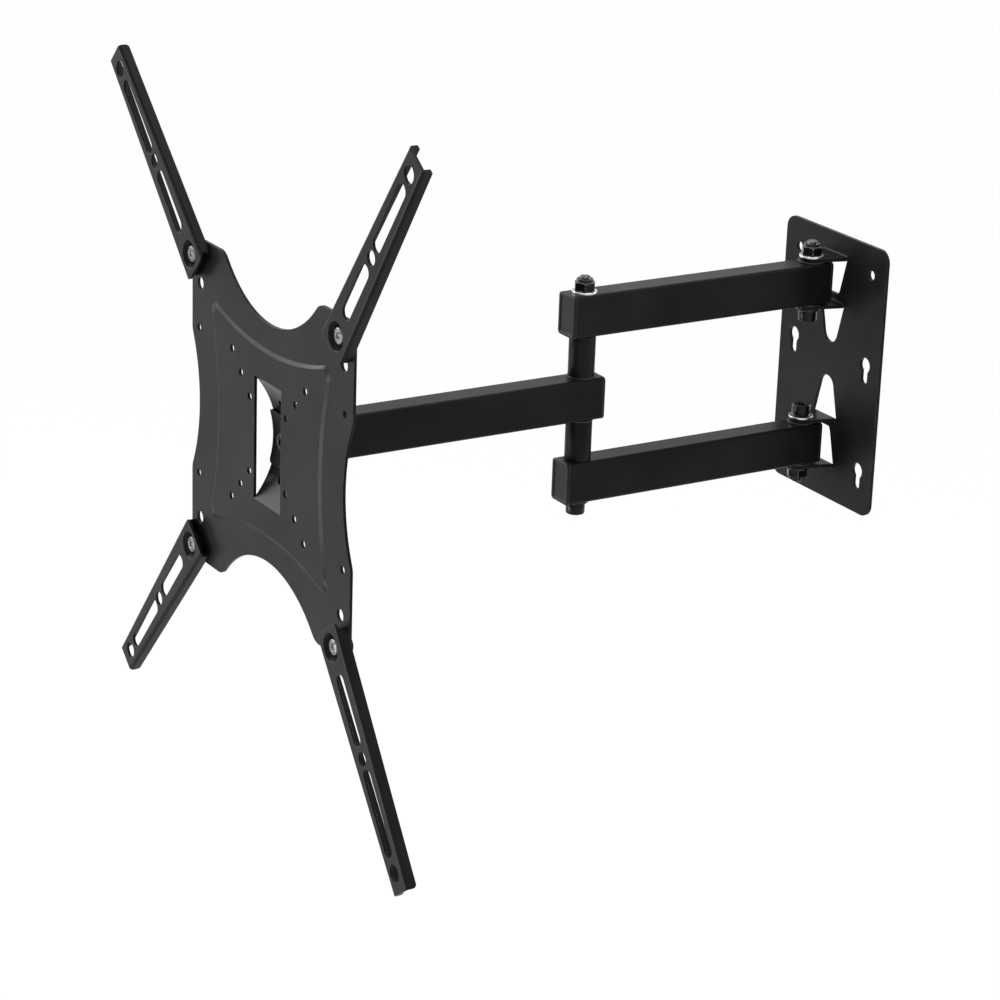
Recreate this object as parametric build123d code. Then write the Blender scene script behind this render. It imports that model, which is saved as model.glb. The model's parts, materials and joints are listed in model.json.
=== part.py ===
"""Full motion TV wall mount.

The wall plate is screwed to the wall. Two parallel rear arms swing on it as one frame, and a
single front arm swings between them on the elbow bolt. A bracket swivels on the front arm's
end and carries the TV plate, whose pressed saddle slides along the bracket's curved face to
tilt. Four slotted extension arms turn on the plate's corners.

Frame: origin at the middle of the wall plate's back face, +Z up, +X to the right for someone
who faces the wall. The mount reaches out of the wall along -Y and is modelled straight out.
Millimetres. A place called "out" is a distance from the wall, so y = -out.
"""

import os
from math import sqrt

from build123d import *

# ---------------------------------------------------------------- driving dimensions

# wall plate, one sheet with four tongues bent out of it
wall_plate_width = 115.0
wall_plate_height = 191.0
wall_plate_thickness = 2.5
wall_plate_corner = 9.0
wall_plate_drop = 5.0
wall_hole_spread = 82.8
wall_hole_height = 75.5
wall_hole_diameter = 7.0
keyhole_heights = (11.5, -65.0)
keyhole_round = 11.0
keyhole_slot = 7.0
keyhole_drop = 10.0
tongue_root_width = 29.0
tongue_tip_radius = 8.0
tongue_bend_radius = 1.5
window_height = 28.0

# arms
tube_width = 20.0
tube_height = 29.0
tube_wall = 1.5
tube_corner = 2.5
rear_arm_rise = 58.0
wall_pivot_out = 23.0
rear_arm_length = 184.4
front_arm_length = 191.9
wall_end_overhang = 12.3
rear_elbow_overhang = 13.5
front_elbow_overhang = 13.5
head_end_overhang = 12.0
plug_cap = 2.0
plug_depth = 24.0
plug_panel_border = 2.6
plug_panel_depth = 0.7
spacer_diameter = 18.0

# M8 hardware
m8 = 8.0
m8_running_fit = 0.05
m8_hole = 8.4
m8_nut_flats = 13.0
m8_nut_hex_height = 6.0
m8_nut_collar_height = 2.0
m8_nut_collar_diameter = 11.4
m8_nut_collar_round = 1.2
m8_nut_crown = 0.4
m8_head_diameter = 13.0
m8_head_height = 8.0
m8_head_chamfer = 0.8
m8_socket_flats = 6.0
m8_socket_depth = 4.0
m8_end_chamfer = 0.7
bolt_end_beyond_nut = 1.6
steel_washer_diameter = 17.0
steel_washer_thickness = 1.5
nylon_washer_diameter = 19.0
nylon_washer_thickness = 1.0
thread_gap = 0.02

# head: swivel bracket, tilt saddle and its clamp
head_depth = 40.5
bracket_thickness = 3.0
bracket_width = 36.0
bracket_tip_radius = 14.0
bracket_full_width_reach = 22.0
bracket_bend = 4.5
saddle_radius = 62.1
saddle_sagitta = 14.6
saddle_width = 36.0
saddle_slit = 0.4
slide_gap = 0.1
tilt_slot_length = 56.0
tilt_slot_width = 9.0
clamp_height = 36.0
clamp_width = 35.0
clamp_corner = 3.0
clamp_thickness = 2.4
tilt_head_diameter = 14.0
tilt_head_height = 4.4
tilt_recess_flats = 5.0
tilt_recess_depth = 2.2
tilt_nut_height = 4.0
spot_face_diameter = 16.0
spot_face_depth = 0.4
tilt_bolt_end = 0.5

# TV plate
tv_plate_width = 220.0
tv_plate_height = 220.0
tv_plate_thickness = 2.0
tv_plate_corner = 12.0
waist_height = 158.0
waist_radius = 84.0
waist_corner = 12.0
side_waist_width = 198.0
side_waist_radius = 106.0
side_waist_corner = 12.0
panel_half_width = 84.0
panel_half_height = 77.0
panel_waist_half_width = 71.5
panel_waist_half_height = 62.5
panel_corner = 6.0
panel_rise = 1.0
panel_slope = 3.0
vesa_patterns = ((50.0, 50.0), (75.0, 75.0), (100.0, 100.0), (200.0, 100.0))
vesa_hole = 5.6
spare_pattern = (196.0, 161.0)
spare_hole = 8.5

# extension arms, at their pivots in the plate's corners
arm_pivot_spread = 200.0
arm_root_width = 28.7
arm_end_width = 20.1
arm_length = 157.0
arm_thickness = 1.8
arm_bend = 2.4
arm_depth = 7.2
arm_plate_gap = 0.2
arm_flange_start = 8.0
arm_flange_corner = 2.5
arm_tongue = 12.0
arm_tongue_corner = 4.5
arm_slots = ((17.5, 64.0), (78.5, 135.0))
arm_slot_width = 10.0
arm_hole_place = 72.0
arm_hole = 9.6
arm_end_hole_place = 144.5
arm_end_hole = 11.4
dimple_floor_radius = 6.0
dimple_slope = 3.4
dimple_wall = 1.2
arm_angles = {
    "upper_right": 35.2,
    "upper_left": -46.3,
    "lower_right": 143.5,
    "lower_left": -139.5,
}

# M6 pivot screws of the extension arms
m6 = 6.0
m6_running_fit = 0.05
m6_head_diameter = 10.6
m6_head_height = 3.0
m6_head_round = 1.4
m6_recess_flats = 4.0
m6_recess_depth = 1.4
m6_nut_flats = 10.0
m6_nut_height = 5.0
m6_screw_end = 1.0
m6_washer_diameter = 12.5
m6_washer_thickness = 1.2

# ---------------------------------------------------------------- places worked out from them

elbow_out = wall_pivot_out + rear_arm_length
swivel_out = elbow_out + front_arm_length
plate_out = swivel_out + head_depth
tilt_axis_drop = saddle_radius - saddle_sagitta
tilt_axis_out = plate_out + tilt_axis_drop
half_gap = tube_height / 2 + nylon_washer_thickness
m8_bore = m8 + 2 * m8_running_fit
saddle_back_radius = saddle_radius + tv_plate_thickness
clamp_outer_radius = saddle_radius - slide_gap
clamp_inner_radius = clamp_outer_radius - clamp_thickness
bracket_inner_radius = saddle_back_radius + slide_gap
bracket_outer_radius = bracket_inner_radius + bracket_thickness
m6_bore = m6 + 2 * m6_running_fit
plate_back = plate_out - tv_plate_thickness
saddle_end = sqrt(saddle_radius**2 - (tilt_axis_drop - panel_rise) ** 2)
tilt_head_seat = tilt_axis_out - clamp_inner_radius - spot_face_depth
tilt_nut_back = tilt_axis_out - bracket_outer_radius - tilt_nut_height
arm_stand_off = arm_depth + arm_plate_gap
arm_face_out = plate_out + arm_stand_off


# ---------------------------------------------------------------- shared shapes


def on_wall(out):
    """The plane that far out of the wall, facing the room; its y is the mount's Z."""
    return Plane.XZ.offset(out)


def slab(sketch, out_from, out_to):
    """A sketch drawn facing the wall, extruded between two distances from the wall."""
    return extrude(on_wall(out_from) * sketch, amount=out_to - out_from)


def disc(diameter, height, x, out, z):
    """An upright cylinder that starts at height z."""
    return Pos(x, -out, z + height / 2) * Cylinder(diameter / 2, height)


def pin(diameter, x, z, out_from, out_to):
    """A cylinder that points out of the wall."""
    return slab(Pos(x, z) * Circle(diameter / 2), out_from, out_to)


def hexagon(flats):
    """A hexagon of the given width across its flats."""
    return RegularPolygon(flats / 2, 6, major_radius=False)


def washer(outer, hole, thickness, out, z):
    """An upright washer lying at height z."""
    return disc(outer, thickness, 0, out, z) - disc(hole, thickness, 0, out, z)


def lock_nut(out, z, up):
    """An M8 nut with a nylon collar; up is 1 or -1, the way its collar points."""
    body = extrude(hexagon(m8_nut_flats), amount=m8_nut_hex_height)
    top = m8_nut_flats / 2 - m8_nut_crown
    crown = Cone(top + sqrt(3) * m8_nut_hex_height, top, m8_nut_hex_height)
    body &= Pos(0, 0, m8_nut_hex_height / 2) * crown
    collar = Pos(0, 0, m8_nut_hex_height + m8_nut_collar_height / 2) * Cylinder(
        m8_nut_collar_diameter / 2, m8_nut_collar_height
    )
    collar = fillet(collar.edges().group_by(Axis.Z)[-1], m8_nut_collar_round)
    whole = m8_nut_hex_height + m8_nut_collar_height
    nut = body + collar - Pos(0, 0, whole / 2) * Cylinder(m8 / 2 + thread_gap, whole)
    turn = Rot(0, 0, 0) if up > 0 else Rot(180, 0, 0)
    return Pos(0, -out, z) * turn * nut


def socket_bolt(out, seat, end, up):
    """An M8 socket head bolt: its head sits on height seat and its shank runs to end."""
    head = Pos(0, 0, m8_head_height / 2) * Cylinder(m8_head_diameter / 2, m8_head_height)
    head = chamfer(head.edges().group_by(Axis.Z)[-1], m8_head_chamfer)
    socket = extrude(hexagon(m8_socket_flats), amount=-m8_socket_depth)
    head -= Pos(0, 0, m8_head_height) * socket
    length = abs(end - seat)
    shank = Pos(0, 0, -length / 2) * Cylinder(m8 / 2, length)
    shank = chamfer(shank.edges().group_by(Axis.Z)[0], m8_end_chamfer)
    turn = Rot(0, 0, 0) if up > 0 else Rot(180, 0, 0)
    return Pos(0, -out, seat) * turn * (head + shank)


def tapered(width, reach, tip_radius):
    """A tongue's outline: a root along y = 0 that narrows to a round tip below it."""
    root = Line((-width / 2, 0), (width / 2, 0))
    tip = CenterArc((0, tip_radius - reach), tip_radius, 0, 360)
    return make_hull([root, *tip.edges()])


# ---------------------------------------------------------------- wall plate


def bent_tongue(inner, side):
    """One clevis tongue: inner is the height of its face towards the tube, side is 1 for
    a tongue whose sheet comes down to it from above and -1 for its mirror image."""
    t = wall_plate_thickness
    run = wall_pivot_out + tongue_tip_radius
    back = inner
    rise = t + tongue_bend_radius
    profile = Polyline(
        (0, back + 2 * rise),
        (0, back),
        (-run, back),
        (-run, back + t),
        (-t, back + t),
        (-t, back + 2 * rise),
        close=True,
    )
    sheet = make_face(profile)
    outer = sheet.vertices().sort_by_distance((0, back))[0]
    sheet = fillet(outer, rise)
    corner = sheet.vertices().sort_by_distance((-t, back + t))[0]
    sheet = fillet(corner, tongue_bend_radius)
    bent = extrude(Plane.YZ * sheet, amount=tongue_root_width / 2, both=True)
    outline = tapered(tongue_root_width, run, tongue_tip_radius)
    plan = extrude(outline, amount=2 * wall_plate_height, both=True)
    bent &= plan
    bent -= disc(m8_hole, 4 * t, 0, wall_pivot_out, back - t)
    return bent if side > 0 else bent.mirror(Plane.XY)


def tongue_window(inner):
    """The hole that a tongue leaves in the plate, below the tongue's bend."""
    rise = wall_plate_thickness + tongue_bend_radius
    outline = tapered(tongue_root_width, window_height + rise, tongue_tip_radius)
    return Pos(0, inner + rise) * outline


def make_wall_plate():
    sheet = RectangleRounded(wall_plate_width, wall_plate_height, wall_plate_corner)
    x = wall_hole_spread / 2
    for side in (-1, 1):
        sheet -= Pos(side * x, wall_hole_height) * Circle(wall_hole_diameter / 2)
        for z in keyhole_heights:
            sheet -= Pos(side * x, z) * Circle(keyhole_round / 2)
            neck = Rectangle(keyhole_slot, keyhole_drop)
            sheet -= Pos(side * x, z - keyhole_drop / 2) * neck
            sheet -= Pos(side * x, z - keyhole_drop) * Circle(keyhole_slot / 2)
    sheet = Pos(0, -wall_plate_drop) * sheet
    # both tongues of the upper clevis are bent at the top of their windows
    faces = (rear_arm_rise + half_gap, rear_arm_rise - half_gap - wall_plate_thickness)
    for inner in faces:
        window = tongue_window(inner)
        sheet -= window
        sheet -= mirror(window, Plane.XZ)
    plate = slab(sheet, 0, wall_plate_thickness)
    for inner in faces:
        plate += bent_tongue(inner, 1)
        plate += bent_tongue(inner, -1)
    return plate


# ---------------------------------------------------------------- arms


def arm_tube(z, out_from, out_to, pivots):
    """A rectangular tube along -Y with a cross hole at each pivot."""
    outer = RectangleRounded(tube_width, tube_height, tube_corner)
    inner = RectangleRounded(
        tube_width - 2 * tube_wall, tube_height - 2 * tube_wall, tube_corner - tube_wall
    )
    tube = slab(Pos(0, z) * (outer - inner), out_from, out_to)
    for out in pivots:
        tube -= disc(m8_bore, tube_height, 0, out, z - tube_height / 2)
    return tube


def arm_plug(z, end_out, facing, pivot):
    """A moulded plug: its block fills the tube's end round the pivot bolt, and its cap
    closes the tube. facing is 1 when the cap looks into the room and -1 towards the wall."""
    cap = RectangleRounded(tube_width, tube_height, tube_corner)
    panel = RectangleRounded(
        tube_width - 2 * plug_panel_border, tube_height - 2 * plug_panel_border, 1.0
    )
    block = RectangleRounded(
        tube_width - 2 * tube_wall, tube_height - 2 * tube_wall, tube_corner - tube_wall
    )
    face = end_out - facing * plug_cap
    plug = slab(Pos(0, z) * cap, face, end_out)
    plug = chamfer(plug.faces().sort_by(Axis.Y)[0 if facing > 0 else -1].edges(), 0.4)
    plug += slab(Pos(0, z) * block, face, face - facing * plug_depth)
    plug -= slab(Pos(0, z) * panel, end_out, end_out - facing * plug_panel_depth)
    return plug - disc(m8_bore, tube_height, 0, pivot, z - tube_height / 2)


def make_rear_arms(nodes):
    start = wall_pivot_out - wall_end_overhang
    end = elbow_out + rear_elbow_overhang
    pivots = (wall_pivot_out, elbow_out)
    for name, z in (("upper", rear_arm_rise), ("lower", -rear_arm_rise)):
        nodes[f"{name}_arm_tube"] = arm_tube(z, start + plug_cap, end - plug_cap, pivots)
        nodes[f"{name}_arm_wall_plug"] = arm_plug(z, start, -1, wall_pivot_out)
        nodes[f"{name}_arm_elbow_plug"] = arm_plug(z, end, 1, elbow_out)


def make_front_arm(nodes):
    start = elbow_out - front_elbow_overhang
    end = swivel_out + head_end_overhang
    pivots = (elbow_out, swivel_out)
    nodes["front_arm_tube"] = arm_tube(0, start + plug_cap, end - plug_cap, pivots)
    nodes["front_arm_elbow_plug"] = arm_plug(0, start, -1, elbow_out)
    nodes["front_arm_head_plug"] = arm_plug(0, end, 1, swivel_out)


# ---------------------------------------------------------------- pivot hardware


def make_elbow(nodes):
    """The elbow bolt holds the rear arms apart with two spacer tubes round the front arm."""
    bottom = -rear_arm_rise - tube_height / 2
    top = -bottom
    low, high = half_gap, rear_arm_rise - tube_height / 2
    column = washer(spacer_diameter, m8_hole, high - low, elbow_out, low)
    nodes["elbow_upper_spacer"] = column
    nodes["elbow_lower_spacer"] = mirror(column, Plane.XY)
    seat = bottom - steel_washer_thickness
    nut_seat = top + steel_washer_thickness
    end = nut_seat + m8_nut_hex_height + m8_nut_collar_height + bolt_end_beyond_nut
    nodes["elbow_bolt"] = socket_bolt(elbow_out, seat, end, -1)
    nodes["elbow_nut"] = lock_nut(elbow_out, nut_seat, 1)
    steel = (steel_washer_diameter, m8_hole, steel_washer_thickness, elbow_out)
    nodes["elbow_steel_washers"] = [washer(*steel, seat), washer(*steel, top)]
    nylon = (nylon_washer_diameter, m8_bore, nylon_washer_thickness, elbow_out)
    nodes["elbow_nylon_washers"] = [
        washer(*nylon, tube_height / 2),
        washer(*nylon, -half_gap),
    ]


def make_wall_pivots(nodes):
    """A bolt through each clevis: upper head below, lower head above, so that the two
    nuts point away from each other."""
    t = wall_plate_thickness
    inner_seat = rear_arm_rise - half_gap - t - steel_washer_thickness
    outer_face = rear_arm_rise + half_gap + t
    nut_seat = outer_face + steel_washer_thickness
    end = nut_seat + m8_nut_hex_height + m8_nut_collar_height + bolt_end_beyond_nut
    bolt = socket_bolt(wall_pivot_out, inner_seat, end, -1)
    nut = lock_nut(wall_pivot_out, nut_seat, 1)
    steel = (steel_washer_diameter, m8_hole, steel_washer_thickness, wall_pivot_out)
    nylon = (nylon_washer_diameter, m8_bore, nylon_washer_thickness, wall_pivot_out)
    steels = [washer(*steel, inner_seat), washer(*steel, outer_face)]
    nylons = [
        washer(*nylon, rear_arm_rise - half_gap),
        washer(*nylon, rear_arm_rise + tube_height / 2),
    ]
    nodes["wall_upper_bolt"] = bolt
    nodes["wall_lower_bolt"] = mirror(bolt, Plane.XY)
    nodes["wall_upper_nut"] = nut
    nodes["wall_lower_nut"] = mirror(nut, Plane.XY)
    nodes["wall_steel_washers"] = steels + [mirror(s, Plane.XY) for s in steels]
    nodes["wall_nylon_washers"] = nylons + [mirror(s, Plane.XY) for s in nylons]


# ---------------------------------------------------------------- head


def arc_band(inner_radius, outer_radius, height, width):
    """A sheet curved about the tilt axis, symmetric about the middle height."""
    ring = Circle(outer_radius) - Circle(inner_radius)
    keep = Pos(outer_radius / 2, 0) * Rectangle(outer_radius, height)
    band = Pos(-tilt_axis_out, 0) * (ring & keep)
    return extrude(Plane.YZ * band, amount=width / 2, both=True)


def make_bracket():
    """A U bent from thick sheet: its curved base backs the saddle and its legs hold the
    front arm's end above and below."""
    outer = half_gap + bracket_thickness
    leg_end = -swivel_out + bracket_tip_radius
    length = leg_end + tilt_axis_out
    middle = leg_end - length / 2
    block = Pos(middle, 0) * Rectangle(length, 2 * outer)
    block -= Pos(-tilt_axis_out, 0) * Circle(bracket_inner_radius)
    hollow = Pos(middle, 0) * Rectangle(length, 2 * half_gap)
    hollow -= Pos(-tilt_axis_out, 0) * Circle(bracket_outer_radius)
    hollow = fillet(hollow.vertices().group_by(Axis.X)[0], bracket_bend - bracket_thickness)
    profile = block - hollow
    profile = fillet(profile.vertices().group_by(Axis.X)[0], bracket_bend / 2)
    bracket = extrude(Plane.YZ * profile, amount=bracket_width / 2, both=True)
    base = Pos(0, -plate_out) * Rectangle(bracket_width, 2 * bracket_full_width_reach)
    tip = Pos(0, -swivel_out) * Circle(bracket_tip_radius)
    outline = make_hull([*base.edges(), *tip.edges()])
    bracket &= extrude(outline, amount=outer, both=True)
    bracket -= disc(m8_hole, 2 * outer, 0, swivel_out, -outer)
    return bracket - pin(m8_hole, 0, 0, swivel_out + m8, plate_out)


def make_tilt_clamp():
    """The curved plate in front of the saddle, with a flat pressed for the bolt's head."""
    clamp = arc_band(clamp_inner_radius, clamp_outer_radius, 2 * clamp_height, saddle_width)
    outline = RectangleRounded(clamp_width, clamp_height, clamp_corner)
    clamp &= slab(outline, swivel_out, plate_out)
    clamp -= pin(spot_face_diameter, 0, 0, tilt_head_seat, plate_out)
    return clamp - pin(m8_hole, 0, 0, swivel_out, plate_out)


def make_tilt_bolt():
    """A button head bolt from the clamp plate to the welded nut behind the bracket."""
    end = tilt_nut_back - tilt_bolt_end
    shank = pin(m8, 0, 0, end, tilt_head_seat)
    head = pin(tilt_head_diameter, 0, 0, tilt_head_seat, tilt_head_seat + tilt_head_height)
    rim = head.edges().sort_by(Axis.Y)[0]
    head = fillet(rim, tilt_head_height - 1.2)
    face = tilt_head_seat + tilt_head_height
    head -= slab(hexagon(tilt_recess_flats), face - tilt_recess_depth, face)
    return shank + head


def make_tilt_nut():
    """The weld nut, its seat curved to the back of the bracket."""
    nut = slab(hexagon(m8_nut_flats), tilt_nut_back, tilt_head_seat)
    disc_shape = Plane.YZ * (Pos(-tilt_axis_out, 0) * Circle(bracket_outer_radius))
    nut -= extrude(disc_shape, amount=m8_nut_flats, both=True)
    return nut - pin(m8 + 2 * thread_gap, 0, 0, tilt_nut_back, tilt_head_seat)


def make_head(nodes):
    nodes["swivel_bracket"] = make_bracket()
    nodes["tilt_clamp_plate"] = make_tilt_clamp()
    nodes["tilt_bolt"] = make_tilt_bolt()
    nodes["tilt_weld_nut"] = make_tilt_nut()
    top = half_gap + bracket_thickness
    seat = -top - steel_washer_thickness
    nut_seat = top + steel_washer_thickness
    end = nut_seat + m8_nut_hex_height + m8_nut_collar_height + bolt_end_beyond_nut
    nodes["swivel_bolt"] = socket_bolt(swivel_out, seat, end, -1)
    nodes["swivel_nut"] = lock_nut(swivel_out, nut_seat, 1)
    steel = (steel_washer_diameter, m8_hole, steel_washer_thickness, swivel_out)
    nodes["swivel_steel_washers"] = [washer(*steel, seat), washer(*steel, top)]
    nylon = (nylon_washer_diameter, m8_bore, nylon_washer_thickness, swivel_out)
    nodes["swivel_nylon_washers"] = [
        washer(*nylon, tube_height / 2),
        washer(*nylon, -half_gap),
    ]


# ---------------------------------------------------------------- TV plate


def four_ways(x, z):
    """The four mirror images of a place on the plate."""
    return [(a * x, b * z) for a in (-1, 1) for b in (-1, 1)]


def tv_plate_outline():
    """A plate with an ear in each corner and a hollow in each side."""
    sheet = RectangleRounded(tv_plate_width, tv_plate_height, tv_plate_corner)
    across = waist_height / 2 + waist_radius
    aside = side_waist_width / 2 + side_waist_radius
    for side in (-1, 1):
        sheet -= Pos(0, side * across) * Circle(waist_radius)
        sheet -= Pos(side * aside, 0) * Circle(side_waist_radius)
    top = tv_plate_height / 2
    edge = tv_plate_width / 2
    x = sqrt(waist_radius**2 - (across - top) ** 2)
    z = sqrt(side_waist_radius**2 - (aside - edge) ** 2)
    for places, radius in (((x, top), waist_corner), ((edge, z), side_waist_corner)):
        points = four_ways(*places)
        corners = [sheet.vertices().sort_by_distance(p)[0] for p in points]
        sheet = fillet(corners, radius)
    return sheet


def panel_outline(inset):
    """The pressed panel's outline, hollow on all four sides, drawn in by inset."""
    w, h = panel_half_width - inset, panel_half_height - inset
    x, z = panel_waist_half_width - inset, panel_waist_half_height - inset
    sides = [
        ThreePointArc((-w, h), (0, z), (w, h)),
        ThreePointArc((w, h), (x, 0), (w, -h)),
        ThreePointArc((w, -h), (0, -z), (-w, -h)),
        ThreePointArc((-w, -h), (-x, 0), (-w, h)),
    ]
    sheet = make_face(sides)
    return fillet(sheet.vertices(), panel_corner)


def raised_panel(out):
    """The pressed shape, from the height of one face of the sheet."""
    foot = on_wall(out) * panel_outline(0)
    crest = on_wall(out + panel_rise) * panel_outline(panel_slope)
    return loft([foot, crest], ruled=True)


def make_tv_plate():
    plate = slab(tv_plate_outline(), plate_back, plate_out)
    plate += raised_panel(plate_out)
    plate -= raised_panel(plate_back)
    crest = plate_out + panel_rise
    window = Rectangle(saddle_width + 2 * saddle_slit, 2 * saddle_end)
    plate -= slab(window, plate_back, crest)
    saddle = arc_band(saddle_radius, saddle_back_radius, 2 * saddle_back_radius, saddle_width)
    saddle &= slab(Rectangle(saddle_width, tv_plate_height), swivel_out, crest)
    slot = SlotOverall(tilt_slot_length, tilt_slot_width, rotation=90)
    plate += saddle - slab(slot, swivel_out, crest)
    for x, z in vesa_patterns:
        for place in four_ways(x / 2, z / 2):
            plate -= pin(vesa_hole, *place, plate_back, crest)
    for place in four_ways(spare_pattern[0] / 2, spare_pattern[1] / 2):
        plate -= pin(spare_hole, *place, plate_back, crest)
    for place in four_ways(arm_pivot_spread / 2, arm_pivot_spread / 2):
        plate -= pin(m6_bore, *place, plate_back, crest)
    return plate


# ---------------------------------------------------------------- extension arms


def arm_plan(inset, low, high):
    """An extension arm's tapered outline between two heights, drawn in by inset."""
    taper = (arm_root_width - arm_end_width) / arm_length
    low_half = (arm_root_width - taper * low) / 2 - inset
    high_half = (arm_root_width - taper * high) / 2 - inset
    root = [(-low_half, low), (low_half, low)]
    tip = [(high_half, high), (-high_half, high)]
    return make_face(Polyline(*root, *tip, close=True))


def bent_block(plan, face_out, bend):
    """A plan carried back from its front face, the two long front edges rounded."""
    block = slab(plan, arm_face_out - arm_depth, face_out)
    front = block.edges().group_by(Axis.Y)[0]
    return fillet(front.filter_by(Axis.X, reverse=True), bend)


def channel():
    """The tapered channel along +Z, its face in front and its two flanges behind it."""
    plan = arm_plan(0, -arm_tongue, arm_length)
    plan = fillet(plan.vertices().group_by(Axis.Y)[0], arm_tongue_corner)
    outside = slab(plan, arm_face_out - arm_depth, arm_face_out)
    outside &= bent_block(arm_plan(0, -arm_tongue, arm_length), arm_face_out, arm_bend)
    hollow = arm_plan(arm_thickness, -2 * arm_tongue, arm_length + arm_tongue)
    behind = arm_face_out - arm_thickness
    return outside - bent_block(hollow, behind, arm_bend - arm_thickness)


def side_view():
    """The channel seen from the side: its flat tongue, then a flange of full depth."""
    face = -arm_face_out
    edge = face + arm_depth
    outline = Polyline(
        (face, -arm_tongue),
        (face + arm_thickness, -arm_tongue),
        (face + arm_thickness, -arm_flange_start),
        (edge, -arm_flange_start),
        (edge, arm_length),
        (face, arm_length),
        close=True,
    )
    sheet = make_face(outline)
    end = sheet.vertices().group_by(Axis.Y)[-1]
    return fillet(end.sort_by(Axis.X)[-1], arm_flange_corner)


def make_arm():
    """An extension arm that points straight up from a pivot at x = z = 0."""
    arm = channel() & extrude(Plane.YZ * side_view(), amount=arm_root_width, both=True)
    depth = arm_stand_off - arm_thickness / 2
    floor = dimple_floor_radius + dimple_wall
    turn = Rot(-90, 0, 0)
    arm += Pos(0, -plate_out - depth / 2) * turn * Cone(floor + dimple_slope, floor, depth)
    rise = arm_stand_off - arm_thickness
    dish = Cone(dimple_floor_radius + dimple_slope, dimple_floor_radius, rise)
    arm -= Pos(0, -arm_face_out + rise / 2) * turn * dish
    arm -= pin(m6_bore, 0, 0, plate_out, arm_face_out)
    for low, high in arm_slots:
        slot = SlotOverall(high - low, arm_slot_width, rotation=90)
        arm -= slab(Pos(0, (low + high) / 2) * slot, plate_out, arm_face_out)
    arm -= pin(arm_hole, 0, arm_hole_place, plate_out, arm_face_out)
    return arm - pin(arm_end_hole, 0, arm_end_hole_place, plate_out, arm_face_out)


def arm_pivots():
    """Each extension arm's name and pivot."""
    half = arm_pivot_spread / 2
    places = {}
    for name in arm_angles:
        x = half if "right" in name else -half
        z = half if "upper" in name else -half
        places[name] = (x, z)
    return places


def make_arms(nodes):
    arm = make_arm()
    screws, washers, nuts = [], [], []
    seat = plate_out + arm_thickness
    nut_face = plate_back - m6_washer_thickness
    nut_back = nut_face - m6_nut_height
    for name, (x, z) in arm_pivots().items():
        nodes[f"{name}_arm"] = Pos(x, 0, z) * Rot(0, arm_angles[name], 0) * arm
        head = pin(m6_head_diameter, x, z, seat, seat + m6_head_height)
        head = fillet(head.edges().sort_by(Axis.Y)[0], m6_head_round)
        recess = Pos(x, z) * hexagon(m6_recess_flats)
        top = seat + m6_head_height
        head -= slab(recess, top - m6_recess_depth, top)
        screws.append(head + pin(m6, x, z, nut_back - m6_screw_end, seat))
        hole = m6 + 2 * thread_gap
        ring = pin(m6_washer_diameter, x, z, nut_face, plate_back)
        washers.append(ring - pin(m6_bore, x, z, nut_face, plate_back))
        nut = slab(Pos(x, z) * hexagon(m6_nut_flats), nut_back, nut_face)
        nuts.append(nut - pin(hole, x, z, nut_back, nut_face))
    nodes["arm_pivot_screws"] = screws
    nodes["arm_pivot_washers"] = washers
    nodes["arm_pivot_nuts"] = nuts


def main():
    nodes = {"wall_plate": make_wall_plate()}
    make_rear_arms(nodes)
    make_front_arm(nodes)
    make_elbow(nodes)
    make_wall_pivots(nodes)
    make_head(nodes)
    nodes["tv_plate"] = make_tv_plate()
    make_arms(nodes)
    os.makedirs("parts", exist_ok=True)
    for name, shape in nodes.items():
        solids = shape if isinstance(shape, list) else [shape]
        export_step(Compound(children=solids), f"parts/{name}.step")


main()
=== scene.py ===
# %% [markdown]
# # A full motion television wall mount
#
# The mount is a small machine of steel sheet and tube. A pressed wall plate has four
# tongues bent out of it, and they hold two rear arms. The rear arms meet a single front arm
# at an elbow, and the front arm carries a swivelling bracket, a tilting plate with a
# pressed saddle, and four slotted extension arms that turn on the plate's corners.
#
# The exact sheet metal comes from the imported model, which is loaded first and never
# changed. What a drawing leaves out is added here: the paint, the plated hardware with its
# sockets and threads, the moulded plugs in the tube ends, and the light in the studio.
# Every length is in metres, and z points up. The wall is the plane y = 0, and the mount
# reaches out of it along -y.

# %% Load the frame
import json
import math

import bmesh
import bpy
from mathutils import Matrix, Vector


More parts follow.
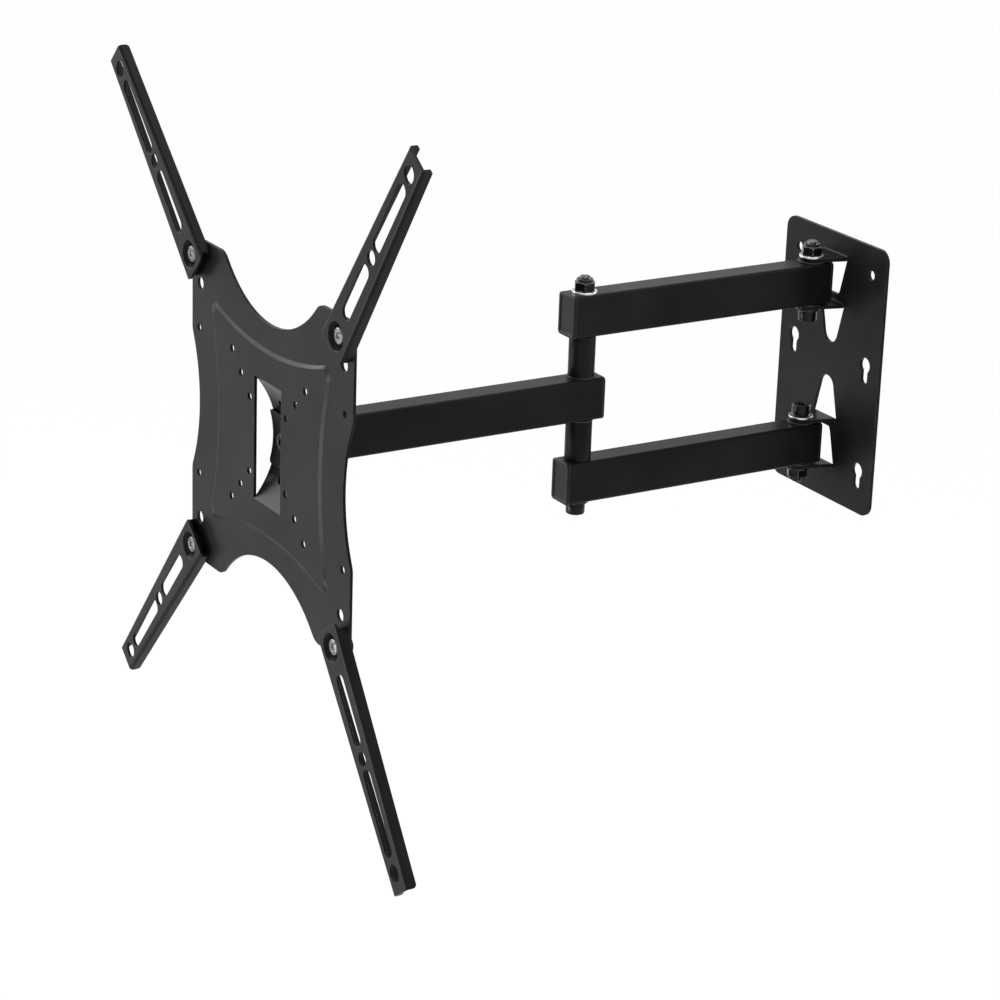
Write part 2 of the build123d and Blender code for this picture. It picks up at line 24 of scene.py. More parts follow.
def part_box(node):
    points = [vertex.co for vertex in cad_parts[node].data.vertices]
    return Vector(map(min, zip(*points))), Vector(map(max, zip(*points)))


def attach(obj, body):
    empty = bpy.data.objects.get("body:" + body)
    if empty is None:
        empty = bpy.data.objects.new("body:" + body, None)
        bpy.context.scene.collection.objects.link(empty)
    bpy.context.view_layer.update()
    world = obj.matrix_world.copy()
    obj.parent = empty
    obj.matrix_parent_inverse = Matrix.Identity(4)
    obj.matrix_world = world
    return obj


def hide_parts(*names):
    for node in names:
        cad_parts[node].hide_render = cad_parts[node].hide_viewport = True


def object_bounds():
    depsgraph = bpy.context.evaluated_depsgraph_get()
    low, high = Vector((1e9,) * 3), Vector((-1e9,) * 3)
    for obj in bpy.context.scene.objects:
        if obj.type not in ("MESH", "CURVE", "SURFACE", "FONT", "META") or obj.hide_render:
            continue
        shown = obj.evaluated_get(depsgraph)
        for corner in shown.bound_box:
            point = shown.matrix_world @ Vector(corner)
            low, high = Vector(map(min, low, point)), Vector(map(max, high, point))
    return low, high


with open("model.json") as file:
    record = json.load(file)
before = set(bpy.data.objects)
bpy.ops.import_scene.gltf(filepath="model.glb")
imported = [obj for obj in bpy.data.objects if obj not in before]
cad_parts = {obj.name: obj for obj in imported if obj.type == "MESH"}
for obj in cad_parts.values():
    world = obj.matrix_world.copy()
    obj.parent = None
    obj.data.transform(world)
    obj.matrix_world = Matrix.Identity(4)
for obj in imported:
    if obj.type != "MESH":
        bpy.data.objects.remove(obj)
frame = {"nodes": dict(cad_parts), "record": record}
cad_low, cad_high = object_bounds()
nodes = frame["nodes"]
MM = 0.001
print("size of the mount in mm:", [round(v / MM, 1) for v in cad_high - cad_low])

# %% [markdown]
# ## The camera
#
# A catalogue camera stands well back with a long lens, so that the near and the far end of
# the mount keep almost the same scale. It looks from the front right and from above, and
# leans by two degrees. A new camera looks straight down. Read from right to left, the three
# turns roll it about the line it looks along, lift its look from the floor towards the
# mount, and swing it round the upright.

# %% Camera
camera_data = bpy.data.cameras.new("catalogue_camera")
camera = bpy.data.objects.new("catalogue_camera", camera_data)
bpy.context.scene.collection.objects.link(camera)
camera_data.sensor_width = 36.0
camera_data.lens = 115.90
camera_data.clip_end = 100.0
camera_place = (1.71481, -1.32048, 0.65707)
camera_height_angle = 19.709
swing, roll = math.radians(58.438), math.radians(1.9953)
lift = math.radians(90 - camera_height_angle)
aim = Matrix.Rotation(swing, 4, "Z") @ Matrix.Rotation(lift, 4, "X")
camera.matrix_world = Matrix.Translation(camera_place) @ aim @ Matrix.Rotation(roll, 4, "Z")
bpy.context.scene.camera = camera
print("camera stands", round(camera.location.length, 2), "m from the wall plate")

# %% [markdown]
# ## The studio
#
# Black paint has almost no colour of its own: what the eye sees on it is the room. So the
# room is built like a light tent. The surroundings are plain and pale. The floor lies
# below the mount, since the real one hangs on a wall. Both show white to the camera and to
# shiny surfaces. The floor gives up a small share of that to the real light that falls on
# it, which keeps a faint shadow.

# %% World and floor
scene = bpy.context.scene
scene.view_settings.view_transform = "Standard"
world = bpy.data.worlds.new("studio_air")
scene.world = world
world.use_nodes = True
air = world.node_tree
air.nodes.clear()


def add_node(tree, kind, **sockets):
    """A node in that tree, with some of its inputs set by name."""
    node = tree.nodes.new(kind)
    for name, value in sockets.items():
        node.inputs[name.replace("_", " ")].default_value = value
    return node


def seen_rays(tree):
    """A value of 1 for camera, glossy and transmission rays, and 0 for the rest."""
    path = tree.nodes.new("ShaderNodeLightPath")
    shiny = tree.nodes.new("ShaderNodeMath")
    shiny.operation = "MAXIMUM"
    tree.links.new(path.outputs["Is Glossy Ray"], shiny.inputs[0])
    tree.links.new(path.outputs["Is Transmission Ray"], shiny.inputs[1])
    seen = tree.nodes.new("ShaderNodeMath")
    seen.operation = "MAXIMUM"
    tree.links.new(path.outputs["Is Camera Ray"], seen.inputs[0])
    tree.links.new(shiny.outputs[0], seen.inputs[1])
    return seen.outputs[0]


lit = add_node(air, "ShaderNodeBackground", Color=(0.92, 0.95, 1.0, 1), Strength=0.55)
shown = add_node(air, "ShaderNodeBackground", Color=(1, 1, 1, 1), Strength=1.0)
choose = air.nodes.new("ShaderNodeMixShader")
air_out = air.nodes.new("ShaderNodeOutputWorld")
air.links.new(seen_rays(air), choose.inputs[0])
air.links.new(lit.outputs[0], choose.inputs[1])
air.links.new(shown.outputs[0], choose.inputs[2])
air.links.new(choose.outputs[0], air_out.inputs[0])

floor_gap = 0.45
bpy.ops.mesh.primitive_plane_add(size=60, location=(0, 0, cad_low.z - floor_gap))
floor = bpy.context.object
floor.name = "studio_floor"
paper = bpy.data.materials.new("studio_paper")
paper.use_nodes = True
tree = paper.node_tree
tree.nodes.clear()
matt = add_node(tree, "ShaderNodeBsdfDiffuse", Color=(0.93, 0.93, 0.93, 1))
glow = add_node(tree, "ShaderNodeEmission", Color=(1, 1, 1, 1), Strength=1.0)
white_share = 0.97
share = tree.nodes.new("ShaderNodeMath")
share.operation = "MULTIPLY"
share.inputs[1].default_value = white_share
mix = tree.nodes.new("ShaderNodeMixShader")
out = tree.nodes.new("ShaderNodeOutputMaterial")
tree.links.new(seen_rays(tree), share.inputs[0])
tree.links.new(share.outputs[0], mix.inputs[0])
tree.links.new(matt.outputs[0], mix.inputs[1])
tree.links.new(glow.outputs[0], mix.inputs[2])
tree.links.new(mix.outputs[0], out.inputs[0])
floor.data.materials.append(paper)
print("floor lies", round((cad_low.z - floor.location.z) / MM), "mm below the lowest arm")

# %% [markdown]
# ## The lamps
#
# On satin paint a lamp is seen twice: as light on the surface and as its own mirror image,
# blurred. So the lamps are placed by what mirrors them. A broad one stands at the left,
# where the upper bead of the plate sends it to the camera, and a small low one in front
# does the same for the upright beads. One more lights the tops, and one behind the wall
# plate rims the tubes. A point lamp would give hard glints, so all four are squares.

# %% Lamps
middle = (cad_low + cad_high) / 2


def soft_lamp(name, towards, distance, size, power):
    """A square lamp that stands off the mount's middle in a direction and faces it."""
    data = bpy.data.lights.new(name, "AREA")
    data.shape = "SQUARE"
    data.size = size
    data.energy = power
    lamp = bpy.data.objects.new(name, data)
    scene.collection.objects.link(lamp)
    side = Vector(towards).normalized()
    lamp.location = middle + side * distance
    lamp.rotation_euler = side.to_track_quat("Z", "Y").to_euler()
    print(name, "at", [round(v, 2) for v in lamp.location], power, "W")


soft_lamp("lamp_left", (-0.82, -0.45, 0.34), 2.2, 1.5, 43)
soft_lamp("lamp_front", (-0.35, -0.88, -0.27), 1.5, 0.5, 9)
soft_lamp("lamp_top", (-0.1, 0.1, 1.0), 2.4, 1.6, 20)
soft_lamp("lamp_back", (0.1, 1.0, 0.3), 2.4, 1.6, 34)

# %% [markdown]
# ## Finishes in layers
#
# No surface of the mount has one flat colour, which would look like a drawing. Each finish
# is built from the same layers: a film whose colour drifts slowly, a paler second colour
# along the edges, partly for wear and partly as a painted highlight, a fine grain as bumps,
# and a gloss that changes from place to place. The Bevel node rounds the edges for the light
# alone. Where its normal leans away from the true one there is an edge, and that is where the
# painted highlight and the wear show. Modelling the rounding would cost thousands of faces
# for a radius of less than half a millimetre. One helper joins the layers, so each finish is
# only a list of numbers.

# %% Material helpers


def new_material(name):
    """A material with only its shader and output, returned with its tree and shader."""
    material = bpy.data.materials.new(name)
    material.use_nodes = True
    tree = material.node_tree
    tree.nodes.clear()
    shader = tree.nodes.new("ShaderNodeBsdfPrincipled")
    output = tree.nodes.new("ShaderNodeOutputMaterial")
    tree.links.new(shader.outputs["BSDF"], output.inputs["Surface"])
    return material, tree, shader


def noise(tree, scale, detail, stretch=(1, 1, 1)):
    """Noise on object coordinates, in cells of about 1 / scale metres."""
    place = tree.nodes.new("ShaderNodeTexCoord")
    mapping = tree.nodes.new("ShaderNodeMapping")
    mapping.inputs["Scale"].default_value = stretch
    grain = add_node(tree, "ShaderNodeTexNoise", Scale=scale, Detail=detail, Roughness=0.55)
    tree.links.new(place.outputs["Object"], mapping.inputs["Vector"])
    tree.links.new(mapping.outputs["Vector"], grain.inputs["Vector"])
    return grain.outputs["Fac"]


def ramp(tree, value, low, high, start=0.35, end=0.65):
    """The value spread over a range from one grey or colour to another."""
    node = tree.nodes.new("ShaderNodeValToRGB")
    stops = node.color_ramp.elements
    stops[0].position, stops[1].position = start, end
    stops[0].color, stops[1].color = (*low, 1), (*high, 1)
    tree.links.new(value, node.inputs["Fac"])
    return node.outputs["Color"]


def spread(tree, value, low, high):
    """The value 0 to 1 mapped to a plain range of numbers."""
    node = tree.nodes.new("ShaderNodeMapRange")
    node.inputs["To Min"].default_value = low
    node.inputs["To Max"].default_value = high
    tree.links.new(value, node.inputs["Value"])
    return node.outputs["Result"]


def bump(tree, height, strength, depth, base):
    """A bump of that depth in metres, laid over another normal."""
    node = add_node(tree, "ShaderNodeBump", Strength=strength, Distance=depth)
    tree.links.new(height, node.inputs["Height"])
    tree.links.new(base, node.inputs["Normal"])
    return node.outputs["Normal"]


def rounded_edges(tree, radius):
    """The normal of edges softened to that radius, and 1 on edges but 0 on flats."""
    flat_from, edge_below = 0.995, 0.85
    soft = tree.nodes.new("ShaderNodeBevel")
    soft.samples = 6
    soft.inputs["Radius"].default_value = radius
    geometry = tree.nodes.new("ShaderNodeNewGeometry")
    dot = tree.nodes.new("ShaderNodeVectorMath")
    dot.operation = "DOT_PRODUCT"
    tree.links.new(soft.outputs["Normal"], dot.inputs[0])
    tree.links.new(geometry.outputs["Normal"], dot.inputs[1])
    edge = tree.nodes.new("ShaderNodeMapRange")
    edge.inputs["From Min"].default_value = flat_from
    edge.inputs["From Max"].default_value = edge_below
    tree.links.new(dot.outputs["Value"], edge.inputs["Value"])
    return soft.outputs["Normal"], edge.outputs["Result"]


def blend_colour(tree, share, first, second):
    """The first colour where share is 0 and the second where it is 1."""
    node = tree.nodes.new("ShaderNodeMix")
    node.data_type = "RGBA"
    tree.links.new(share, node.inputs[0])
    tree.links.new(first, node.inputs[6])
    tree.links.new(second, node.inputs[7])
    return node.outputs[2]


def clouds(tree, scale, detail, *colours):
    """Noise between two colours: the cells per metre, the detail, and what ramp takes."""
    return ramp(tree, noise(tree, scale, detail), *colours)


def layered(name, rim, film, edge_wear_and_highlight, grain, gloss, **levels):
    """A finish in layers, its rim and bump depths in millimetres.

    film and edge_wear_and_highlight hold what clouds takes, the second for the paler edges,
    which are partly wear and partly a painted highlight. Each row of grain holds a noise
    scale and detail, a strength and a depth, and gloss a noise scale and detail and two
    roughness values.
    """
    material, tree, shader = new_material(name)
    normal, edge = rounded_edges(tree, rim * MM)
    colour = clouds(tree, *film)
    # the edges take a paler colour: partly wear, partly a painted highlight
    if edge_wear_and_highlight:
        colour = blend_colour(tree, edge, colour, clouds(tree, *edge_wear_and_highlight))
    tree.links.new(colour, shader.inputs["Base Color"])
    for scale, detail, strength, depth, *stretch in grain:
        height = noise(tree, scale, detail, *stretch)
        normal = bump(tree, height, strength, depth * MM, normal)
    tree.links.new(normal, shader.inputs["Normal"])
    scale, detail, low, high = gloss
    roughness = spread(tree, noise(tree, scale, detail), low, high)
    tree.links.new(roughness, shader.inputs["Roughness"])
    for socket, value in levels.items():
        shader.inputs[socket.replace("_", " ")].default_value = value
    print("made", material.name)
    return material


# %% [markdown]
# ## Black powder coat
#
# All the sheet and tube is sprayed with black powder and baked. The film is satin and
# slightly pebbled. Its edges are paler, partly from wear and partly as a painted highlight.
# The pebbles come in two sizes, as the powder melts into soft hills about a millimetre apart
# with finer ones on them.

# %% Black powder coat
coat = layered(
    "satin_black_coat",
    rim=0.45,
    film=(14, 3, (0.0062, 0.0062, 0.0065), (0.0130, 0.0130, 0.0133)),
    # paler edges: partly wear, partly a painted highlight
    edge_wear_and_highlight=(190, 4, (0.026, 0.026, 0.027), (0.17, 0.17, 0.171), 0.42, 0.68),
    grain=[(950, 2, 0.22, 0.10), (2600, 2, 0.18, 0.05)],
    gloss=(60, 3, 0.27, 0.38),
    Specular_IOR_Level=0.08,
)

# %% [markdown]
# ## Moulded plastic, plated steel and nylon
#
# The plugs in the tube ends are moulded in black polypropylene, matt with a faint spark
# erosion grain. The washers are zinc plated: bright, a little cloudy, with fine marks from
# the press, and paler rims that are partly wear and partly a painted highlight. The pivot
# screws have a duller, darker zinc with bright rims that are a painted highlight. The large
# nuts and bolts are zinc plated too, but passivated black, and their pale edges are partly
# bare metal and partly painted glints. The washers that look down take the same black finish
# as painted shade. Metals differ from paint in the shader by one number, Metallic, and in the
# eye by what their edges do.

# %% Plastic, zinc, black zinc and nylon
plastic = layered(
    "black_moulded_plastic",
    rim=0.5,
    film=(30, 3, (0.008, 0.008, 0.0085), (0.013, 0.013, 0.0135)),
    # slightly paler edges: partly wear, partly a painted highlight
    edge_wear_and_highlight=(200, 3, (0.035, 0.035, 0.036), (0.07, 0.07, 0.07)),
    grain=[(3200, 3, 0.20, 0.04)],
    gloss=(90, 3, 0.34, 0.48),
    Specular_IOR_Level=0.16,
)
zinc = layered(
    "bright_zinc_plate",
    rim=0.2,
    film=(260, 4, (0.50, 0.51, 0.53), (0.74, 0.74, 0.73)),
    # paler rims: partly wear, partly a painted highlight
    edge_wear_and_highlight=(500, 2, (0.78, 0.78, 0.78), (0.86, 0.86, 0.85)),
    grain=[(1500, 3, 0.3, 0.04, (1, 1, 4))],
    gloss=(420, 3, 0.24, 0.44),
    Metallic=1.0,
)
dull_zinc = layered(
    "dull_zinc_plate",
    rim=0.2,
    film=(420, 4, (0.075, 0.075, 0.08), (0.22, 0.22, 0.21)),
    # bright rims: a painted highlight
    edge_wear_and_highlight=(500, 2, (0.55, 0.55, 0.55), (0.80, 0.80, 0.79)),
    grain=[(1300, 3, 0.35, 0.05)],
    gloss=(420, 3, 0.28, 0.46),
    Metallic=1.0,
)
black_zinc_and_shade = layered(
    "black_zinc_and_painted_shade",
    rim=0.35,
    film=(300, 4, (0.006, 0.006, 0.008), (0.018, 0.018, 0.019)),
    # pale edges: partly bare worn metal, partly painted glints
    edge_wear_and_highlight=(600, 2, (0.12, 0.12, 0.13), (0.75, 0.75, 0.75), 0.40, 0.62),
    grain=[(1700, 3, 0.35, 0.05)],
    gloss=(350, 3, 0.20, 0.34),
    Metallic=0.85,
)
nylon = layered(
    "black_nylon",
    rim=0.2,
    film=(120, 3, (0.020, 0.020, 0.021), (0.030, 0.030, 0.031)),
    edge_wear_and_highlight=None,
    grain=[(2400, 2, 0.2, 0.03)],
    gloss=(200, 2, 0.40, 0.52),
    Specular_IOR_Level=0.30,
)

# %% [markdown]
# ## Painting the sheet metal
#
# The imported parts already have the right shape, so they keep their meshes and only get
# their finish. The record names a material slot for every part, and a table from slot to
# finish paints all of them in one loop.

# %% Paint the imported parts
finishes = {
    "black_powder_coat": coat,
    "black_plastic": plastic,
    "zinc_steel": zinc,
    "black_steel": black_zinc_and_shade,
    "nylon": nylon,
}
painted = {}
for part in frame["record"]["subparts"]:
    piece = nodes[part["node"]]
    finish = finishes[part["material_slot"]]
    piece.data.materials.clear()
    piece.data.materials.append(finish)
    painted[finish.name] = painted.get(finish.name, 0) + 1
print("parts per finish:", painted)

# %% [markdown]
# ## Tools for the bench
#
# The hardware is made the way a lathe hand and a miller would make it. A circle is drawn
# out ring by ring along a profile, which gives any turned shape, and a six-sided circle
# drawn out in the same way gives a hexagon bar. A boolean then keeps, cuts or joins two
# such solids. Each piece is made once, standing on the origin, and its copies are turned
# and moved to their seats, after which the move is written into the mesh.

# %% Bench tools


def select_only(*pieces):
    """Leave edit mode and select these pieces alone, the last one active."""
    if bpy.context.object and bpy.context.object.mode == "EDIT":
        bpy.ops.object.mode_set(mode="OBJECT")
    bpy.ops.object.select_all(action="DESELECT")
    for piece in pieces:
        piece.select_set(True)
        bpy.context.view_layer.objects.active = piece


def clean_up(piece):
    """Merge doubled points, face all faces outwards and smooth all but the real edges."""
    sharp_from = math.radians(32)
    select_only(piece)
    bpy.ops.object.mode_set(mode="EDIT")
    bpy.ops.mesh.select_all(action="SELECT")
    bpy.ops.mesh.remove_doubles(threshold=0.001 * MM)
    bpy.ops.mesh.normals_make_consistent(inside=False)
    bpy.ops.object.mode_set(mode="OBJECT")
    bpy.ops.object.transform_apply(location=True, rotation=True, scale=True)
    bpy.ops.object.shade_smooth_by_angle(angle=sharp_from)
    return piece


def turned(name, profile, sides=64, solid=True):
    """A piece turned about Z from its profile, a list of (radius, height) in millimetres."""
    select_only()
    radius, height = profile[0]
    bpy.ops.mesh.primitive_circle_add(
        vertices=sides,
        radius=radius * MM,
        fill_type="NGON" if solid else "NOTHING",
        location=(0, 0, height * MM),
    )
    piece = bpy.context.object
    piece.name = name
    bpy.ops.object.transform_apply(location=True, rotation=True, scale=True)
    bpy.ops.object.mode_set(mode="EDIT")
    bpy.ops.mesh.select_mode(type="VERT")
    bpy.ops.mesh.select_all(action="SELECT")
    for next_radius, next_height in profile[1:]:
        step = (0, 0, (next_height - height) * MM)
        bpy.ops.mesh.extrude_region_move(TRANSFORM_OT_translate={"value": step})
        growth = next_radius / radius
        at = (0, 0, next_height * MM)
        bpy.ops.transform.resize(value=(growth, growth, 1), center_override=at)
        radius, height = next_radius, next_height
    return clean_up(piece)


def ring(name, profile):
    """A turned piece with a bore: its profile goes once round the section and closes."""
    return turned(name, [*profile, profile[0]], solid=False)


def hexagon_bar(name, flats, low, high):
    """A hexagon bar of that width across its flats, upright between two heights."""
    corner = flats / math.sqrt(3)
    return turned(name, [(corner, low), (corner, high)], sides=6)


def combine(piece, tool, operation):
    """Join, cut or intersect a piece with a tool, which is then thrown away."""
    modifier = piece.modifiers.new("combine", "BOOLEAN")
    modifier.operation = operation
    modifier.solver = "EXACT"
    modifier.object = tool
    select_only(piece)
    bpy.ops.object.modifier_apply(modifier=modifier.name)
    bpy.data.objects.remove(tool, do_unlink=True)
    return clean_up(piece)


def open_edges(piece):
    """How many edges of a mesh don't lie between exactly two faces."""
    mesh = bmesh.new()
    mesh.from_mesh(piece.data)
    count = sum(1 for edge in mesh.edges if len(edge.link_faces) != 2)
    mesh.free()
    return count


def seat(model, name, body, node, slot, finish, place, turn=None):
    """A copy of a model with its own mesh, turned, moved to its place and put on a body."""
    piece = model.copy()
    piece.data = model.data.copy()
    piece.name = name
    piece.data.name = name
    scene.collection.objects.link(piece)
    piece.matrix_world = Matrix.Translation(place) @ (turn or Matrix())
    select_only(piece)
    bpy.ops.object.transform_apply(location=True, rotation=True, scale=True)
    piece.data.materials.clear()
    piece.data.materials.append(finish)
    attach(piece, body)
    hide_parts(node)
    return piece


def put_away(*models):
    """Remove the models once their copies are seated."""
    for model in models:
        bpy.data.objects.remove(model, do_unlink=True)


upside_down = Matrix.Rotation(math.pi, 4, "X")
facing_room = Matrix.Rotation(math.radians(90), 4, "X")

# %% [markdown]
# ## Washers
#
# Under every nut and head lies a steel washer, and between every tongue, tube and bracket
# a thin nylon one that lets the joint turn. A steel washer is punched from strip: the punch
# rolls one rim over and leaves the other sharp, so its two rims are not alike. The nylon
# ones are moulded and have the same small radius all round. A plain ring would show a hard
# bright line where the real rim gives a soft one.

# %% Washers
washer_steel = ring(
    "washer_steel",
    [
        (4.22, 0.12), (4.34, 0.0), (8.38, 0.0), (8.50, 0.12), (8.50, 0.95),
        (8.42, 1.25), (8.20, 1.44), (7.90, 1.50), (4.62, 1.50), (4.34, 1.42), (4.22, 1.15),
    ],
)
washer_nylon = ring(
    "washer_nylon",
    [
        (4.10, 0.14), (4.24, 0.0), (9.30, 0.0), (9.44, 0.06), (9.50, 0.20), (9.50, 0.80),
        (9.44, 0.94), (9.30, 1.00), (4.24, 1.00), (4.10, 0.86),
    ],
)
print("open edges:", open_edges(washer_steel), open_edges(washer_nylon))

# %% [markdown]
# ## The seats of the washers
# The places come from the boxes of the imported nuts, bolts and tubes, so the washers lie
# exactly between them. Each has a twin, since every pivot is stacked the same way
# above and below the middle. The twin is turned upside down, so that its rolled rim faces
# the nut or the head too. The steel washers that look down at the wall pivots and at the
# elbow take the black finish as painted shade, as they face away from the light. The steel
# washers that look down at the wall pivots and at the
# elbow are blackened.

# %% Seat the washers


def upright(x, out, height):
    """A place at x, that far out of the wall and at that height, all in metres."""
    return Vector((x, -out, height))


def pivot_out(node):
    """How far out of the wall the middle of a part lies."""
    low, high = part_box(node)
    return -(low.y + high.y) / 2


def mirrored_pair(model, name, body, node, upper_slot, lower_slot, out, height):
    """A piece at a height and its twin, upside down, at the same distance below."""
    above, below = upright(0, out, height), upright(0, out, -height)
    seat(model, f"{name}_upper", body, node, *upper_slot, above)
    seat(model, f"{name}_lower", body, node, *lower_slot, below, upside_down)


bolt_head = 8 * MM
steel, thin = 1.5 * MM, 1.0 * MM
wall_out = pivot_out("wall_upper_nut")
elbow_out = pivot_out("elbow_nut")
swivel_out = pivot_out("swivel_nut")
tube_low, tube_high = (corner.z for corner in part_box("upper_arm_tube"))
middle_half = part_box("front_arm_tube")[1].z
wall_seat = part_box("wall_upper_nut")[0].z
wall_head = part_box("wall_upper_bolt")[0].z + bolt_head
elbow_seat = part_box("elbow_nut")[0].z
swivel_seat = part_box("swivel_nut")[0].z

zinc_slot = ("zinc_steel", zinc)
nylon_slot = ("nylon", nylon)
# black zinc for the nuts and bolts, and painted shade on the washers that look down
black_zinc_and_shade_slot = ("black_steel", black_zinc_and_shade)
for model, name, body, node, upper_slot, lower_slot, out, height in (
    (
        washer_steel, "wall_outer_washer", "wall", "wall_steel_washers",
        # the washer that looks down is blackened as painted shade
        zinc_slot, black_zinc_and_shade_slot, wall_out, wall_seat - steel,
    ),
    (
        washer_steel, "wall_inner_washer", "wall", "wall_steel_washers",
        # the washer that looks down is blackened as painted shade
        black_zinc_and_shade_slot, zinc_slot, wall_out, wall_head,
    ),
    (
        washer_nylon, "wall_outer_bearing", "wall", "wall_nylon_washers",
        nylon_slot, nylon_slot, wall_out, tube_high,
    ),
    (
        washer_nylon, "wall_inner_bearing", "wall", "wall_nylon_washers",
        nylon_slot, nylon_slot, wall_out, tube_low - thin,
    ),
    (
        washer_steel, "elbow_washer", "rear_arms", "elbow_steel_washers",
        # the washer that looks down is blackened as painted shade
        zinc_slot, black_zinc_and_shade_slot, elbow_out, elbow_seat - steel,
    ),
    (
        washer_nylon, "elbow_bearing", "front_arm", "elbow_nylon_washers",
        nylon_slot, nylon_slot, elbow_out, middle_half,
    ),
    (
        washer_nylon, "swivel_bearing", "front_arm", "swivel_nylon_washers",
        nylon_slot, nylon_slot, swivel_out, middle_half,
    ),
    (
        washer_steel, "swivel_washer", "swivel_head", "swivel_steel_washers",
        zinc_slot, zinc_slot, swivel_out, swivel_seat - steel,
    ),
):
    mirrored_pair(model, name, body, node, upper_slot, lower_slot, out, height)
put_away(washer_steel, washer_nylon)
print("washers lie at", [round(v / MM, 1) for v in (wall_seat, elbow_seat, swivel_seat)])

# %% [markdown]
# ## Lock nuts
#
# A lock nut of this kind is a hexagon with a round collar on top. Inside the collar sits a
# nylon ring, smaller than the thread, which the bolt has to squeeze through, and the
# collar's lip is rolled over to hold it. The corners of the hexagon are turned down to
# thirty degrees at both ends. That cut is a cone, so the easiest way to it is the real
# one: turn the whole nut as a round body with its cones, then keep only what lies inside a
# hexagon bar.

# %% Lock nuts
nut_body = ring(
    "nut_body",
    [
        (4.02, 0.45), (4.45, 0.0), (6.30, 0.0), (7.62, 0.76), (7.62, 5.25), (6.40, 5.95),
        (6.05, 6.02), (5.82, 6.14), (5.70, 6.40), (5.70, 7.30), (5.60, 7.66), (5.36, 7.92),
        (5.05, 8.00), (4.78, 7.92), (4.66, 7.72), (4.70, 7.40), (4.70, 6.60), (4.02, 6.30),
    ],
)
nut_model = combine(nut_body, hexagon_bar("bar", 13.0, -1, 9), "INTERSECT")
insert_model = ring(
    "nut_insert",
    [
        (4.02, 6.55), (4.68, 6.55), (4.68, 7.38), (4.62, 7.60), (4.40, 7.66), (4.18, 7.62),
        (4.06, 7.50), (4.02, 7.30),
    ],
)
print("open edges:", open_edges(nut_model), open_edges(insert_model))
for name, body, node, out, height in (
    ("wall_upper", "wall", "wall_upper_nut", wall_out, wall_seat),
    ("wall_lower", "wall", "wall_lower_nut", wall_out, -wall_seat),
    ("elbow", "rear_arms", "elbow_nut", elbow_out, elbow_seat),
    ("swivel", "swivel_head", "swivel_nut", swivel_out, swivel_seat),
):
    turn = upside_down if height < 0 else None
    place = upright(0, out, height)
    seat(nut_model, f"{name}_lock_nut", body, node, *black_zinc_and_shade_slot, place, turn)
    seat(insert_model, f"{name}_nut_insert", body, node, *nylon_slot, place, turn)
put_away(nut_model, insert_model)

# %% [markdown]
# ## Socket head bolts
#
# Each hinge turns on an M8 bolt with a round head and a hexagon socket. The head is forged:
# its rims are soft, the socket has a coned mouth where the key goes in and a drilled point
# at its bottom. The end of the shank carries a real thread of 1.25 mm pitch, since it looks
# out over the nut, and a thread that is only painted on would have a smooth outline there.
# One tooth is drawn as a line and swept round by the Screw modifier. Two cuts make its ends
# flat, and a cone turns down its tip.

# %% Thread


def threaded_end(name, major, pitch, low, high):
    """A solid length of thread between two heights in millimetres, its lower end coned."""
    root, crest = major / 2 - 0.54 * pitch, major / 2
    tooth = [(root, 0.0), (root, 0.1), (crest, 0.44), (crest, 0.56), (root, 0.9), (root, 1.0)]
    select_only()
    start = (root * MM, 0, (low - pitch) * MM)
    bpy.ops.mesh.primitive_plane_add(size=1 * MM, location=start)
    piece = bpy.context.object
    piece.name = name
    bpy.ops.object.transform_apply(location=True, rotation=True, scale=True)
    bpy.ops.object.mode_set(mode="EDIT")
    bpy.ops.mesh.select_all(action="SELECT")
    bpy.ops.mesh.merge(type="CENTER")
    for (radius, height), (next_radius, next_height) in zip(tooth, tooth[1:]):
        step = ((next_radius - radius) * MM, 0, (next_height - height) * pitch * MM)
        bpy.ops.mesh.extrude_vertices_move(TRANSFORM_OT_translate={"value": step})
    bpy.ops.object.mode_set(mode="OBJECT")
    sweep = piece.modifiers.new("sweep", "SCREW")
    sweep.steps = 36
    sweep.render_steps = 36
    sweep.screw_offset = pitch * MM
    sweep.iterations = math.ceil((high - low) / pitch) + 2
    bpy.ops.object.modifier_apply(modifier=sweep.name)
    clean_up(piece)
    bpy.ops.object.mode_set(mode="EDIT")
    for cut, above in ((low, False), (high, True)):
        bpy.ops.mesh.select_all(action="SELECT")
        bpy.ops.mesh.bisect(
            plane_co=(0, 0, cut * MM),
            plane_no=(0, 0, 1),
            use_fill=True,
            threshold=1e-7,
            clear_outer=above,
            clear_inner=not above,
        )
    bpy.ops.object.mode_set(mode="OBJECT")
    clean_up(piece)
    wide = crest + 0.2
    cone = [(root, low), (wide, low + wide - root), (wide, high + 1)]
    return combine(piece, turned(f"{name}_tip", cone), "INTERSECT")


sample = threaded_end("sample_thread", 8.0, 1.25, -6, 0)
print("faces of a thread:", len(sample.data.polygons), "open edges:", open_edges(sample))
put_away(sample)

# %% [markdown]
# ## Heads, shanks and sockets
#
# The rest of a bolt is one turned profile from the neck under the thread to the top of the
# head, so shank and head are one piece of steel, as they are when forged. The thread is
# joined to it, and three tools cut the socket: a hexagon bar for the key, a cone for the
# drill's point and a wider cone for the mouth. All four bolts differ only in length.

# %% Bolts of the hinges


